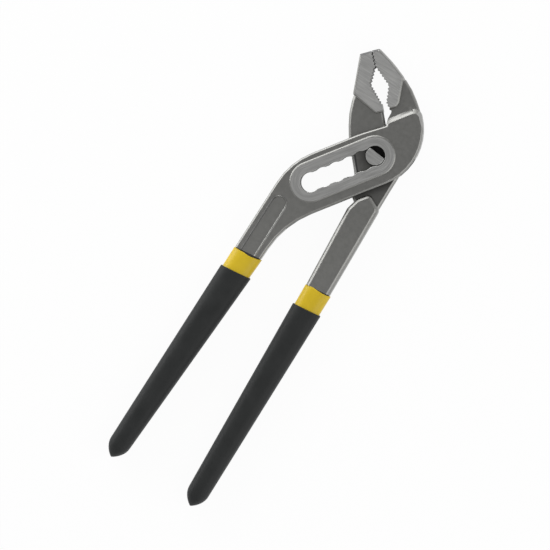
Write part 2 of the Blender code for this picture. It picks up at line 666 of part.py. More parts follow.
def build_pin(parts, guides):
    """The pin, flush with the border at both ends, with a flat where it runs in the cheeks."""
    bpy.ops.mesh.primitive_cylinder_add(vertices=PIN_SIDES, radius=PIN_RADIUS, depth=2 * BORDER_HALF)
    pin = bpy.context.object
    pin.name = "pivot_pin"
    pin.data.name = "pivot_pin"
    for collection in pin.users_collection:
        collection.objects.unlink(pin)
    parts.objects.link(pin)
    bevel(pin, PIN_CHAMFER, 1)
    out = direction(PIN_FLAT_ANGLE)
    side = Vector((-out.y, out.x)) * 2 * PIN_RADIUS
    corners = [out * PIN_FLAT + side, out * PIN_FLAT - side,
               out * 2 * PIN_RADIUS - side, out * 2 * PIN_RADIUS + side]
    depth = BORDER_HALF - WEB_HALF
    for name, up in (("front_flat", 1.0), ("rear_flat", -1.0)):
        flat = plate(name, [(corner.x, corner.y) for corner in corners], depth, guides,
                     base=up * (WEB_HALF + depth))
        combine(pin, flat, "DIFFERENCE")
    return pin


def build_coat(name, handle, start, inner_offset, wall, parts, guides):
    """A dipped coat: a closed sleeve over the tang, open at its top edge."""
    coat = bar(name, handle, tang_sections(handle, start, inner_offset + wall, LIP_ROUND), parts)
    inner = tang_sections(handle, start - COAT_OVERRUN, inner_offset)
    hollow = bar(name + "_hollow", handle, inner, guides)
    combine(coat, hollow, "DIFFERENCE")
    return coat


def finish(obj, material, parent):
    """Material, smooth shading on the round stretches, and the parent that carries the piece."""
    obj.data.materials.clear()
    obj.data.materials.append(material)
    obj.data.shade_smooth()
    obj.data.set_sharp_from_angle(angle=math.radians(SMOOTH_ANGLE))
    obj.parent = parent


def world_box(objects):
    """The lowest and highest corners of the finished objects."""
    graph = bpy.context.evaluated_depsgraph_get()
    places = []
    for obj in objects:
        shape = obj.evaluated_get(graph)
        places += [shape.matrix_world @ vertex.co for vertex in shape.data.vertices]
    low = Vector([min(place[i] for place in places) for i in range(3)])
    high = Vector([max(place[i] for place in places) for i in range(3)])
    return low, high


for old in list(bpy.data.objects):
    bpy.data.objects.remove(old)
parts = bpy.data.collections.new("water_pump_pliers")
guides = bpy.data.collections.new("cutters_and_guides")
bpy.context.scene.collection.children.link(parts)
bpy.context.scene.collection.children.link(guides)

tool = bpy.data.objects.new("tool", None)
parts.objects.link(tool)
tool.rotation_euler.z = math.radians(HANDLES_DOWN)
pivot_axis = bpy.data.objects.new("pivot_axis", None)
parts.objects.link(pivot_axis)
pivot_axis.parent = tool

slotted_handle = Handle((-TRAVEL - SLOTTED_COLLAR_OUT, -SLOTTED_COLLAR_DOWN), SLOTTED_HANDLE_ANGLE, -1.0,
                        SLOTTED_COLLAR_WIDTH, SLOTTED_TANG_LENGTH)
pivot_handle = Handle((-PIVOT_COLLAR_OUT, -PIVOT_COLLAR_DOWN), PIVOT_HANDLE_ANGLE, 1.0,
                      PIVOT_COLLAR_WIDTH, PIVOT_TANG_LENGTH)

forged_steel = principled("forged_steel", (0.13, 0.13, 0.125), 0.5, 0.9)
ground_steel = principled("ground_steel", (0.30, 0.30, 0.29), 0.35, 1.0)
yellow_coat = principled("yellow_coat", (0.62, 0.44, 0.02), 0.4, 0.0)
black_coat = principled("black_coat", (0.025, 0.027, 0.027), 0.5, 0.0)

finish(build_slotted_lever(slotted_handle, parts, guides), forged_steel, tool)
finish(build_pivot_lever(pivot_handle, parts, guides), forged_steel, pivot_axis)
finish(build_pin(parts, guides), ground_steel, pivot_axis)
under_offset = COAT_GAP
over_offset = 2 * COAT_GAP + UNDERCOAT_WALL
for side, handle, parent in (("slotted", slotted_handle, tool), ("pivot", pivot_handle, pivot_axis)):
    under = build_coat(side + "_undercoat", handle, 0.0, under_offset, UNDERCOAT_WALL, parts, guides)
    over = build_coat(side + "_grip", handle, BAND_LENGTH, over_offset, OVERCOAT_WALL, parts, guides)
    finish(under, yellow_coat, parent)
    finish(over, black_coat, parent)

bpy.context.view_layer.update()
low, high = world_box([obj for obj in parts.objects if obj.type == "MESH"])
tool.location = (-(low.x + high.x) / 2, -(low.y + high.y) / 2, -low.z)
bpy.context.view_layer.update()
slot_way = tool.matrix_world.to_3x3() @ Vector((-1.0, 0.0, 0.0))
for label, place in (("pin axis", pivot_axis.matrix_world.translation), ("slot direction", slot_way)):
    print(label, [round(value, 6) for value in place])
print("travel", round(TRAVEL, 6))
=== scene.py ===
"""Looks of a pair of water pump pliers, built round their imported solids. Lengths are in metres."""
import json
import math

import bpy
from mathutils import Matrix, Vector


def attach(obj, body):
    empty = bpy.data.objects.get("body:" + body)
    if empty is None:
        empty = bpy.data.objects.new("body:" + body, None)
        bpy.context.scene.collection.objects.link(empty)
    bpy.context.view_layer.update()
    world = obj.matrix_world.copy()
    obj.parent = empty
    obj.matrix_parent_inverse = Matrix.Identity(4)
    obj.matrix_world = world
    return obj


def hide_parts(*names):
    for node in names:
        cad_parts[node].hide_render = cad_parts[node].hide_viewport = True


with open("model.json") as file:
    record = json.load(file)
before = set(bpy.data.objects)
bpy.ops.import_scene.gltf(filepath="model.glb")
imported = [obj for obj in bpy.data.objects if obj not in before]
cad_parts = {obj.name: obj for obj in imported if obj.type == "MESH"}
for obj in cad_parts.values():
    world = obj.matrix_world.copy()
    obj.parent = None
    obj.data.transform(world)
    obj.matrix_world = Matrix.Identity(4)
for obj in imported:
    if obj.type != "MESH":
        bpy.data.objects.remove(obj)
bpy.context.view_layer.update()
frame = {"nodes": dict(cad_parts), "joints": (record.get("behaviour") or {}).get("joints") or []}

# Slotted lever. One drop forging of tool steel, blasted to a dark grey, with the right jaw, the two cheeks
# and the left tang in one piece. The border round its slot and the jaw are ground bright, its slopes and
# jaw edges are lighter, partly rubbed wear and partly painted highlight, and dark scale is left on the
# tang.
# Painted shade darkens the teeth, the gap between the tips, the tip ends and the left slope of the panel.
slide = next(joint for joint in frame["joints"] if joint["name"] == "notch_slide")
hinge = next(joint for joint in frame["joints"] if joint["name"] == "handle_hinge")
pin_place = Vector(hinge["pos_m"])
slot_x = -Vector(slide["axis"])
slot_y = Vector((-slot_x.y, slot_x.x, 0.0))
slot_turn = math.atan2(slot_x.y, slot_x.x)
slot_length = slide["range_m"][1]
# Angles between two faces: of one flat, of one smooth stretch, of a rounded edge, and of a sharp edge.
FLAT = math.radians(0.4)
SMOOTH = math.radians(18.0)
ROUND = math.radians(50.0)
SHARP = math.radians(60.0)
# Tilts of a face in degrees: a flat's at most, a wall's at least, and the range of a 45 degree slope.
LEVEL = 8.0
STEEP = 80.0
SLOPE_LOW = 35.0
SLOPE_HIGH = 55.0
# Where the lever's parts are: levels above the middle of the tool, and places along and across the slot.
BORDER_LEVEL = 0.0061
PAD_LEVEL = 0.0049
PAD_START = 0.016
EDGES_REACH = 0.0125
JAW_EDGE = 0.030
TIP_END = 0.0493
TIP_HALF = 0.0015
MOUTH_FOOT = 0.022
MOUTH_HALF = 0.0048
BITE_X = 0.0167
BITE_Y = 0.0416
BITE_ANGLE = math.radians(81.6)
PANEL_TOP = (-0.054, -0.0038)
COLLAR_EDGE = 0.002
slotted_handle = {"collar": (-0.07895, -0.0218), "angle": math.radians(214.1),
                  "half": 0.0069, "length": 0.1238}
# How close two corners are when they are one, and how wide an edge is broken.
MERGE = 0.000001
BROKEN_EDGE = 0.00015


def in_slot_frame(place):
    """Where a point lies from the pin: along the slot, across it, and above the middle."""
    way = Vector(place) - pin_place
    return Vector((way.dot(slot_x), way.dot(slot_y), way.z))


def tilt_of(face):
    """How far a face leans from level, in degrees."""
    return math.degrees(math.acos(min(1.0, abs(face.normal.z))))


def beside_bite(spot, half):
    """Whether a spot is within a half width of the bite line, the middle between the teeth of both jaws."""
    return abs(spot.x - BITE_X - (spot.y - BITE_Y) / math.tan(BITE_ANGLE)) < half


def is_broken(near, far):
    """Whether an edge is one that is broken with a stone: on the slot's border, or on top of the teeth."""
    ends = [in_slot_frame(near), in_slot_frame(far)]
    bordering = all(abs(end.z) > BORDER_LEVEL and abs(end.y) < PAD_START for end in ends)
    toothed = all(abs(end.z) > PAD_LEVEL and end.y > MOUTH_FOOT and beside_bite(end, MOUTH_HALF)
                  for end in ends)
    return (bordering or toothed) and ends[0].z * ends[1].z > 0.0


def break_edges(piece, size, steps, chosen):
    """Bevels those sharp edges of the active piece that are chosen by the places of their two ends."""
    bpy.ops.object.mode_set(mode="EDIT")
    bpy.ops.mesh.select_mode(type="EDGE")
    bpy.ops.mesh.select_all(action="DESELECT")
    bpy.ops.mesh.edges_select_sharp(sharpness=SHARP)
    bpy.ops.object.mode_set(mode="OBJECT")
    for face in piece.data.polygons:
        face.select = False
    for edge in piece.data.edges:
        near, far = [piece.data.vertices[end].co for end in edge.vertices]
        edge.select = edge.select and chosen(near, far)
    bpy.ops.object.mode_set(mode="EDIT")
    bpy.ops.mesh.bevel(offset=size, segments=steps, affect="EDGES")
    bpy.ops.object.mode_set(mode="OBJECT")


def forging(node, name):
    """A piece made from a solid's own surface, with whole flats and some sharp edges broken."""
    bpy.ops.object.select_all(action="DESELECT")
    piece = bpy.data.objects.new(name, frame["nodes"][node].data.copy())
    bpy.context.scene.collection.objects.link(piece)
    piece.data.materials.clear()
    bpy.context.view_layer.objects.active = piece
    piece.select_set(True)
    bpy.ops.object.mode_set(mode="EDIT")
    bpy.ops.mesh.select_all(action="SELECT")
    bpy.ops.mesh.remove_doubles(threshold=MERGE)
    bpy.ops.mesh.dissolve_limited(angle_limit=FLAT)
    bpy.ops.object.mode_set(mode="OBJECT")
    break_edges(piece, BROKEN_EDGE, steps=1, chosen=is_broken)
    return piece


def shade_forging(piece):
    """Shades the selected piece with even flats, and the facets of one rounded edge as one round."""
    bpy.ops.object.shade_smooth_by_angle(angle=SMOOTH)
    beside = {}
    for face in piece.data.polygons:
        for key in face.edge_keys:
            beside.setdefault(key, []).append(face)
    for edge in piece.data.edges:
        faces = beside.get(edge.key, [])
        if len(faces) == 2 and all(LEVEL < tilt_of(face) < STEEP for face in faces):
            edge.use_edge_sharp = faces[0].normal.angle(faces[1].normal) > ROUND
    weighted = piece.modifiers.new("even_flats", "WEIGHTED_NORMAL")
    weighted.keep_sharp = True
    bpy.ops.object.modifier_apply(modifier=weighted.name)


# The finishes of the steel, each a material that reads the place on the object. A noise's values lie
# mostly between its low and its high.
NOISE_LOW = 0.3
NOISE_HIGH = 0.7
GRIND_STRETCH = 20.0
GROUND_WARMTH = 0.98
BLASTED_DARK = (0.246, 0.246, 0.235)
BLASTED_PALE = (0.282, 0.280, 0.269)
# Worn steel is lighter: partly rubbed wear, partly painted highlight.
WORN_HIGHLIT_DARK = (0.33, 0.33, 0.32)
WORN_HIGHLIT_PALE = (0.40, 0.40, 0.39)
BORDER_GREYS = (0.415, 0.565)
JAW_GREYS = (0.49, 0.66)
# Dark greys: scale, which on the teeth is painted shade, and painted shade for the panel's left slope and
# the tip ends.
SCALE_AND_SHADE_GREYS = (0.035, 0.055)
PAINTED_SHADE_GREYS = (0.10, 0.125)


def start_finish(name, metallic):
    """A material with its shader and its object coordinates."""
    material = bpy.data.materials.new(name)
    material.use_nodes = True
    nodes = material.node_tree.nodes
    shader = nodes["Principled BSDF"]
    shader.inputs["Metallic"].default_value = metallic
    place = nodes.new("ShaderNodeTexCoord").outputs["Object"]
    return material, shader, place


def link(material, source, target):
    """Joins one node's output to another node's input."""
    material.node_tree.links.new(source, target)


def math_node(material, operation, first, second=None):
    """A sum, a product or the like of one or two values, each a number or a node's output."""
    node = material.node_tree.nodes.new("ShaderNodeMath")
    node.operation = operation
    for socket, value in zip(node.inputs, (first, second)):
        if isinstance(value, float):
            socket.default_value = value
        elif value is not None:
            link(material, value, socket)
    return node.outputs[0]


def mapped(material, place, kind="POINT", location=(0.0, 0.0, 0.0), turn=0.0, scale=(1.0, 1.0, 1.0)):
    """The place as it reads after a move, a turn and a scale."""
    node = material.node_tree.nodes.new("ShaderNodeMapping")
    node.vector_type = kind
    node.inputs["Location"].default_value = location
    node.inputs["Rotation"].default_value = (0.0, 0.0, turn)
    node.inputs["Scale"].default_value = scale
    link(material, place, node.inputs["Vector"])
    return node.outputs["Vector"]


def noise(material, place, scale, detail, roughness=0.5):
    """A noise over the place, as its 0 to 1 value."""
    node = material.node_tree.nodes.new("ShaderNodeTexNoise")
    node.inputs["Scale"].default_value = scale
    node.inputs["Detail"].default_value = detail
    node.inputs["Roughness"].default_value = roughness
    link(material, place, node.inputs["Vector"])
    return node.outputs["Fac"]


def ramp(material, value, stops):
    """A colour ramp, from (position, colour) stops."""
    node = material.node_tree.nodes.new("ShaderNodeValToRGB")
    elements = node.color_ramp.elements
    while len(elements) < len(stops):
        elements.new(0.5)
    for element, (position, colour) in zip(elements, stops):
        element.position = position
        element.color = (*colour, 1.0)
    link(material, value, node.inputs["Fac"])
    return node.outputs["Color"]


def mottle(material, shader, value, dark, pale, smooth, rough):
    """Lets a noise set a shader's colour, from dark to pale, and its roughness, from smooth to rough."""
    colour = ramp(material, value, [(NOISE_LOW, dark), (NOISE_HIGH, pale)])
    link(material, colour, shader.inputs["Base Color"])
    node = material.node_tree.nodes.new("ShaderNodeMapRange")
    node.inputs["From Min"].default_value = NOISE_LOW
    node.inputs["From Max"].default_value = NOISE_HIGH
    node.inputs["To Min"].default_value = smooth
    node.inputs["To Max"].default_value = rough
    link(material, value, node.inputs["Value"])
    link(material, node.outputs["Result"], shader.inputs["Roughness"])


def bump(material, shader, height, strength, distance):
    """A bump from a height, on top of any bump the shader already has."""
    node = material.node_tree.nodes.new("ShaderNodeBump")
    node.inputs["Strength"].default_value = strength
    node.inputs["Distance"].default_value = distance
    old = shader.inputs["Normal"].links
    if old:
        link(material, old[0].from_socket, node.inputs["Normal"])
    link(material, height, node.inputs["Height"])
    link(material, node.outputs["Normal"], shader.inputs["Normal"])


def blasted_steel(name):
    """Forged steel, blasted: dark, a little mottled, with a fine even grain."""
    material, shader, place = start_finish(name, metallic=1.0)
    patches = noise(material, place, scale=420.0, detail=6.0, roughness=0.7)
    mottle(material, shader, patches, BLASTED_DARK, BLASTED_PALE, smooth=0.35, rough=0.41)
    grain = noise(material, place, scale=3800.0, detail=3.0)
    bump(material, shader, grain, strength=0.22, distance=0.00005)
    return material


def worn_highlit_steel(name):
    """Steel lighter on the slopes and edges it is given to, partly rubbed wear and partly painted
    highlight, with faint scuffs.
    """
    material, shader, place = start_finish(name, metallic=1.0)
    scuffs = noise(material, place, scale=700.0, detail=4.0, roughness=0.6)
    mottle(material, shader, scuffs, WORN_HIGHLIT_DARK, WORN_HIGHLIT_PALE, smooth=0.30, rough=0.38)
    bump(material, shader, scuffs, strength=0.08, distance=0.00004)
    return material


def slot_ring(material, place):
    """Coordinates round the slot: the stretched distance from its middle line, then along and across it."""
    nodes = material.node_tree.nodes
    slot_middle = pin_place - slot_x * slot_length / 2
    split = nodes.new("ShaderNodeSeparateXYZ")
    link(material, mapped(material, place, "TEXTURE", slot_middle, slot_turn), split.inputs["Vector"])
    along = split.outputs["X"]
    across = split.outputs["Y"]
    from_middle = math_node(material, "ABSOLUTE", along)
    from_end = math_node(material, "SUBTRACT", from_middle, slot_length / 2)
    past_end = math_node(material, "MAXIMUM", from_end, 0.0)
    squares = [math_node(material, "MULTIPLY", side, side) for side in (past_end, across)]
    distance = math_node(material, "SQRT", math_node(material, "ADD", *squares))
    joined = nodes.new("ShaderNodeCombineXYZ")
    link(material, math_node(material, "MULTIPLY", distance, GRIND_STRETCH), joined.inputs["X"])
    link(material, along, joined.inputs["Y"])
    link(material, across, joined.inputs["Z"])
    return joined.outputs["Vector"]


def straight_grind(angle):
    """Coordinates for straight grinding lines at an angle in the world."""
    def coordinates(material, place):
        return mapped(material, place, turn=-angle, scale=(1.0, GRIND_STRETCH, 1.0))
    return coordinates


def ground_steel(name, lines, low, high):
    """Steel ground on a belt: paler, from a low to a high grey in fine lines the way that lines gives."""
    material, shader, place = start_finish(name, metallic=1.0)
    streaks = noise(material, lines(material, place), scale=90.0, detail=4.0, roughness=0.65)
    dark, pale = [(grey, grey, GROUND_WARMTH * grey) for grey in (low, high)]
    mottle(material, shader, streaks, dark, pale, smooth=0.30, rough=0.44)
    bump(material, shader, streaks, strength=0.12, distance=0.00004)
    return material


def dark_steel(name, metallic, low, high):
    """Steel left dark or painted with shade, from a low to a high grey: bare where metallic is 1, under
    scale where it is 0.
    """
    material, shader, place = start_finish(name, metallic)
    patches = noise(material, place, scale=700.0, detail=4.0, roughness=0.6)
    dark, pale = [(grey, grey, grey) for grey in (low, high)]
    mottle(material, shader, patches, dark, pale, smooth=0.40, rough=0.50)
    shader.inputs["Specular IOR Level"].default_value = 0.25
    return material


def paint(piece, finish, chosen):
    """Gives a finish to the faces that are chosen by their place and by their tilt."""
    piece.data.materials.append(finish)
    for face in piece.data.polygons:
        if chosen(in_slot_frame(face.center), tilt_of(face)):
            face.material_index = len(piece.data.materials) - 1


def on_border(spot, tilt):
    """Whether a face is on the flat of the raised border round the slot."""
    return tilt < LEVEL and abs(spot.z) > BORDER_LEVEL and abs(spot.y) < PAD_START


def on_pad(spot, tilt):
    """Whether a face is on the ground flat of a jaw."""
    return tilt < LEVEL and abs(spot.z) > PAD_LEVEL and spot.y > PAD_START


def on_slope(spot, tilt):
    """Whether a face is a 45 degree slope on the lever, below its jaw."""
    return SLOPE_LOW < tilt < SLOPE_HIGH and spot.y < EDGES_REACH


def on_jaw_edge(spot, tilt):
    """Whether a face is on a rounded edge of the jaw."""
    return LEVEL < tilt < STEEP and spot.y > JAW_EDGE


def on_teeth(spot, tilt):
    """Whether a face is a wall of the teeth in the mouth, or lies in the narrow gap between the tips."""
    in_mouth = tilt > STEEP and spot.y > MOUTH_FOOT and beside_bite(spot, MOUTH_HALF)
    in_gap = tilt > LEVEL and beside_bite(spot, TIP_HALF)
    return in_gap if spot.y > BITE_Y - TIP_HALF else in_mouth


def on_tip_end(spot, tilt):
    """Whether a face is a wall or a rounded edge at the ends of the jaw tips."""
    return tilt > LEVEL and spot.y > TIP_END


def on_panel_left(spot, tilt):
    """Whether a face is a slope of the shank that lies left of the middle of its rimmed panel."""
    middle_line = PANEL_TOP[1] + (spot.x - PANEL_TOP[0]) * math.tan(slotted_handle["angle"])
    return SLOPE_LOW < tilt < SLOPE_HIGH and spot.x < PANEL_TOP[0] and spot.y > middle_line


def on_tang(handle):
    """A rule that picks the faces of a tang, which is all that lies well past its collar."""
    collar = Vector((*handle["collar"], 0.0))
    along = Vector((math.cos(handle["angle"]), math.sin(handle["angle"]), 0.0))
    return lambda spot, tilt: (spot - collar).dot(along) > COLLAR_EDGE


slotted = forging("slotted_lever", "slotted_forging")
shade_forging(slotted)
jaw_grind = straight_grind(slot_turn + BITE_ANGLE - math.pi / 2)
blasted = blasted_steel("blasted_steel")
worn_highlit = worn_highlit_steel("worn_highlit_steel")
ground_border = ground_steel("ground_border", slot_ring, *BORDER_GREYS)
ground_jaw = ground_steel("ground_jaw", jaw_grind, *JAW_GREYS)
painted_shade = dark_steel("painted_shade_steel", 1.0, *PAINTED_SHADE_GREYS)
scale_and_shade = dark_steel("dark_scale_and_painted_shade", 0.0, *SCALE_AND_SHADE_GREYS)
paint(slotted, blasted, lambda spot, tilt: True)
# Slopes of 45 degrees get a lighter finish, partly wear and partly painted highlight.
paint(slotted, worn_highlit, on_slope)
paint(slotted, ground_border, on_border)
paint(slotted, ground_jaw, on_pad)
# The jaw's rounded edges get the same lighter finish, partly painted highlight.
paint(slotted, worn_highlit, on_jaw_edge)
# The left slope of the shank's panel takes painted shade.
paint(slotted, painted_shade, on_panel_left)
# The walls and rounded edges at the jaw tips take painted shade.
paint(slotted, painted_shade, on_tip_end)
# Teeth walls and the narrow gap between the tips take painted shade.
paint(slotted, scale_and_shade, on_teeth)
# The tang keeps real dark scale.
paint(slotted, scale_and_shade, on_tang(slotted_handle))
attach(slotted, "slotted_lever")
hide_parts("slotted_lever")

# Pivot lever. The second forging: a thin web that passes between the cheeks, with the left jaw at one end
# and the right tang at the other. Its jaw is ground, and painted shade, partly grease, darkens the web
# round the pin and below the cheeks, with a darker painted band of shade along the left of the rim round
# the web's track. Its teeth and tip ends take painted shade too.
WEB_HALF = 0.0027
WEB_REACH = 0.013
SKIN = 0.00002
# The width of the inset rim that takes a painted dark band of shade.
SHADED_RIM = 0.0009
RIM_REACH = 0.0065
pivot_handle = {"collar": (-0.0528, -0.0527), "angle": math.radians(217.4),
                "half": 0.0063, "length": 0.1263}
# Painted shade, partly grease, is a share of the colour by the distance from the pin, in SHADE_REACH. FAR
# takes a way out of it.
SHADE_REACH = 0.025
FAR = 1000.0
SHADE_AT_PIN = ((0.19, 1.0), (0.23, 0.6), (0.45, 0.25), (0.54, 0.25), (0.62, 0.05))
SHADE_BELOW_CHEEK = ((0.52, 0.05), (0.6, 0.8), (0.64, 0.72), (0.68, 0.6),
                   (0.73, 0.45), (0.78, 0.39), (0.9, 0.42))
SHADE_COLOUR = (0.02, 0.019, 0.018, 1.0)
RIM_SHADE_GREYS = (0.075, 0.09)


def grease_and_shade_steel(name, along, stops):
    """Blasted steel darkened by painted shade, partly grease, whose share the stops give by the distance
    from the pin. That is counted in SHADE_REACH across the slot, and in the given length along it."""
    material = blasted_steel(name)
    nodes = material.node_tree.nodes
    shader = nodes["Principled BSDF"]
    steel = shader.inputs["Base Color"].links[0].from_socket
    place = nodes.new("ShaderNodeTexCoord").outputs["Object"]
    from_pin = mapped(material, place, "TEXTURE", pin_place, slot_turn, (along, SHADE_REACH, FAR))
    reach = nodes.new("ShaderNodeVectorMath")
    reach.operation = "LENGTH"
    link(material, from_pin, reach.inputs[0])
    share = ramp(material, reach.outputs["Value"], [(at, (amount,) * 3) for at, amount in stops])
    shade_mix = nodes.new("ShaderNodeMix")
    shade_mix.data_type = "RGBA"
    link(material, share, shade_mix.inputs["Factor"])
    link(material, steel, shade_mix.inputs["A"])
    shade_mix.inputs["B"].default_value = SHADE_COLOUR
    link(material, shade_mix.outputs["Result"], shader.inputs["Base Color"])
    return material


def on_web(spot, tilt):
    """Whether a face is on a flat of the web."""
    return tilt < LEVEL and abs(spot.z) < WEB_HALF + SKIN


def on_web_between_cheeks(spot, tilt):
    """Whether a face is on the stretch of the web's flats that the cheeks lie over."""
    return on_web(spot, tilt) and abs(spot.y) < WEB_REACH


def on_web_below_cheeks(spot, tilt):
    """Whether a face is on the stretch of the web's flats that shows below the cheeks."""
    return on_web(spot, tilt) and spot.y < -WEB_REACH


def on_web_edge(spot, tilt):
    """Whether a face is on a rounded edge of the web between the cheeks."""
    return LEVEL < tilt < STEEP and abs(spot.y) < WEB_REACH


def on_shaded_rim(spot, tilt):
    """Whether a face is on the left part of the narrow rim, painted as a dark band of shade, that the inset
    leaves round the web's track.
    """
    in_reach = abs(spot.y) < WEB_REACH - SHADED_RIM and spot.x < -RIM_REACH
    return on_web(spot, tilt) and in_reach and spot not in track


pivot = forging("pivot_lever", "pivot_forging")
bpy.ops.object.mode_set(mode="EDIT")
for cut in (WEB_REACH, -WEB_REACH):
    bpy.ops.mesh.select_all(action="SELECT")
    bpy.ops.mesh.bisect(plane_co=pin_place + slot_y * cut, plane_no=slot_y)
bpy.ops.mesh.select_mode(type="FACE")
bpy.ops.mesh.select_all(action="DESELECT")
bpy.ops.object.mode_set(mode="OBJECT")
for face in pivot.data.polygons:
    face.select = on_web_between_cheeks(in_slot_frame(face.center), tilt_of(face))
bpy.ops.object.mode_set(mode="EDIT")
bpy.ops.mesh.inset(thickness=SHADED_RIM, use_individual=False)
bpy.ops.object.mode_set(mode="OBJECT")
track = [in_slot_frame(face.center) for face in pivot.data.polygons if face.select]
shade_forging(pivot)
paint(pivot, blasted, lambda spot, tilt: True)
# The web's rounded edges get the same lighter finish, partly painted highlight.
paint(pivot, worn_highlit, on_web_edge)
# The web between the cheeks takes painted shade, partly grease, round the pin.
paint(pivot, grease_and_shade_steel("painted_shade_at_pin", SHADE_REACH, SHADE_AT_PIN), on_web_between_cheeks)
# The web below the cheeks takes painted shade, partly grease.
paint(pivot, grease_and_shade_steel("painted_shade_below_cheek", FAR, SHADE_BELOW_CHEEK), on_web_below_cheeks)
# The left part of the rim round the web's track takes a painted dark band of shade.
paint(pivot, dark_steel("painted_shade_rim", 1.0, *RIM_SHADE_GREYS), on_shaded_rim)
paint(pivot, ground_jaw, on_pad)
# The walls and rounded edges at the jaw tips take painted shade.
paint(pivot, painted_shade, on_tip_end)
# Teeth walls and the narrow gap between the tips take painted shade.
paint(pivot, scale_and_shade, on_teeth)
paint(pivot, scale_and_shade, on_tang(pivot_handle))
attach(pivot, "pivot_lever")
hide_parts("pivot_lever")

# Pin. A short steel rod pressed through the web, with a flat milled on each end so that it passes
# the cusps of the slot when the handles are wide open. Its ends are ground with the border, and its
# sides are painted black as shade for the gap beside the flat.
PIN_RADIUS = 0.0048
PIN_FLAT = 0.0018
PIN_FLAT_TURN = math.radians(30.0)
PIN_CHAMFER = 0.0002
PIN_SIDES = 96
GAP_SHADE_DARK = (0.003, 0.003, 0.003)
GAP_SHADE_PALE = (0.008, 0.0075, 0.007)
pin_half = pin_place.z


def painted_gap_shade(name):
    """Black painted shade, a little wet, for the pin's sides where they show in the gap beside the flat."""
    material, shader, place = start_finish(name, metallic=0.0)
    lumps = noise(material, place, scale=900.0, detail=3.0)
    mottle(material, shader, lumps, GAP_SHADE_DARK, GAP_SHADE_PALE, smooth=0.5, rough=0.7)
    shader.inputs["Specular IOR Level"].default_value = 0.2
    bump(material, shader, lumps, strength=0.3, distance=0.0001)
    return material


def on_pin_end(near, far):
    """Whether an edge lies on one end of the pin."""
    return all(abs(end.z - pin_half) > pin_half - MERGE for end in (near, far))


def on_pin_side(spot, tilt):
    """Whether a face lies between the chamfers of the pin's two ends."""
    return abs(spot.z) < pin_half - PIN_CHAMFER


bpy.ops.object.select_all(action="DESELECT")
bpy.ops.mesh.primitive_cylinder_add(vertices=PIN_SIDES, radius=PIN_RADIUS, depth=2 * pin_half,
                                    location=pin_place)
pin = bpy.context.object
pin.name = "flatted_pin"
flat_way = slot_x * math.cos(PIN_FLAT_TURN) + slot_y * math.sin(PIN_FLAT_TURN)
for up in (1.0, -1.0):
    bpy.ops.mesh.primitive_cube_add(size=2 * PIN_RADIUS, rotation=(0.0, 0.0, slot_turn + PIN_FLAT_TURN))
    mill = bpy.context.object
    mill.location = pin_place + flat_way * (PIN_FLAT + PIN_RADIUS)
    mill.location.z += up * (WEB_HALF + PIN_RADIUS)
    flat = pin.modifiers.new("milled_flat", "BOOLEAN")
    flat.operation = "DIFFERENCE"
    flat.object = mill
    bpy.context.view_layer.objects.active = pin
    bpy.ops.object.modifier_apply(modifier=flat.name)
    bpy.data.objects.remove(mill)
bpy.ops.object.select_all(action="DESELECT")
pin.select_set(True)
bpy.context.view_layer.objects.active = pin
bpy.ops.object.transform_apply(location=True, rotation=True, scale=True)
break_edges(pin, PIN_CHAMFER, steps=2, chosen=on_pin_end)
bpy.ops.object.shade_smooth_by_angle(angle=SMOOTH)
paint(pin, ground_steel("ground_pin", straight_grind(slot_turn), *BORDER_GREYS), lambda spot, tilt: True)
# The pin's sides take black painted shade.
paint(pin, painted_gap_shade("painted_gap_shade"), on_pin_side)
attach(pin, "pivot_lever")
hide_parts("pivot_pin")

# Undercoats. Each tang is dipped in yellow vinyl, which sets as a tight sleeve with a rounded nose.
# Its top edge is the level of the bath, a little uneven where the vinyl crept on the steel.
UNDERCOAT_WALL = 0.00085
TANG_HALF = 0.0046
TANG_END_HALF = 0.00395
TANG_NOSE = 0.007
BATH_ANGLE = math.radians(-48.0)
BATH_FADE = 0.03
SECTION_SIDES = 56
SECTION_POWER = 2.6
TOP_STEPS = (0.0, 0.0004, 0.001, 0.002, 0.004, 0.007)
BODY_STEPS = 12
NOSE_STEPS = 10
NOSE_TURN = math.radians(86.0)
NOSE_WIDTH_POWER = 0.85
NOSE_HEIGHT_POWER = 0.5
LIP_ROUND = 0.00035
# How far the vinyl crept: a dip in the middle, a sway from side to side, and one narrow peak.
SLOTTED_DIP = 0.0008
SLOTTED_SWAY = 0.00025
PEAK_HEIGHT = 0.0002
PEAK_SIDE = -0.25
PEAK_WIDTH = 0.1
PIVOT_SWAY = 0.0004
YELLOW_DARK = (0.61, 0.43, 0.010)
YELLOW_PALE = (0.66, 0.465, 0.014)
VINYL_SPREAD = 0.04


def coat_rings(handle, start, offset):
    """The rings of a coat's outside, as (distance from the collar, half width, half thickness)."""
    body_end = handle["length"] - TANG_NOSE
    taper = (TANG_END_HALF - handle["half"]) / body_end
    reach = body_end - start - TOP_STEPS[-1]
    levels = [start + step for step in TOP_STEPS]
    levels += [start + TOP_STEPS[-1] + reach * i / BODY_STEPS for i in range(1, BODY_STEPS + 1)]
    rings = [(level, handle["half"] + taper * level + offset, TANG_HALF + offset) for level in levels]
    for i in range(1, NOSE_STEPS + 1):
        share = math.sin(NOSE_TURN * i / NOSE_STEPS)
        left = 1.0 - share * share
        rings.append((body_end + (TANG_NOSE + offset) * share,
                      (TANG_END_HALF + offset) * left ** NOSE_WIDTH_POWER,
                      (TANG_HALF + offset) * left ** NOSE_HEIGHT_POWER))
    return rings


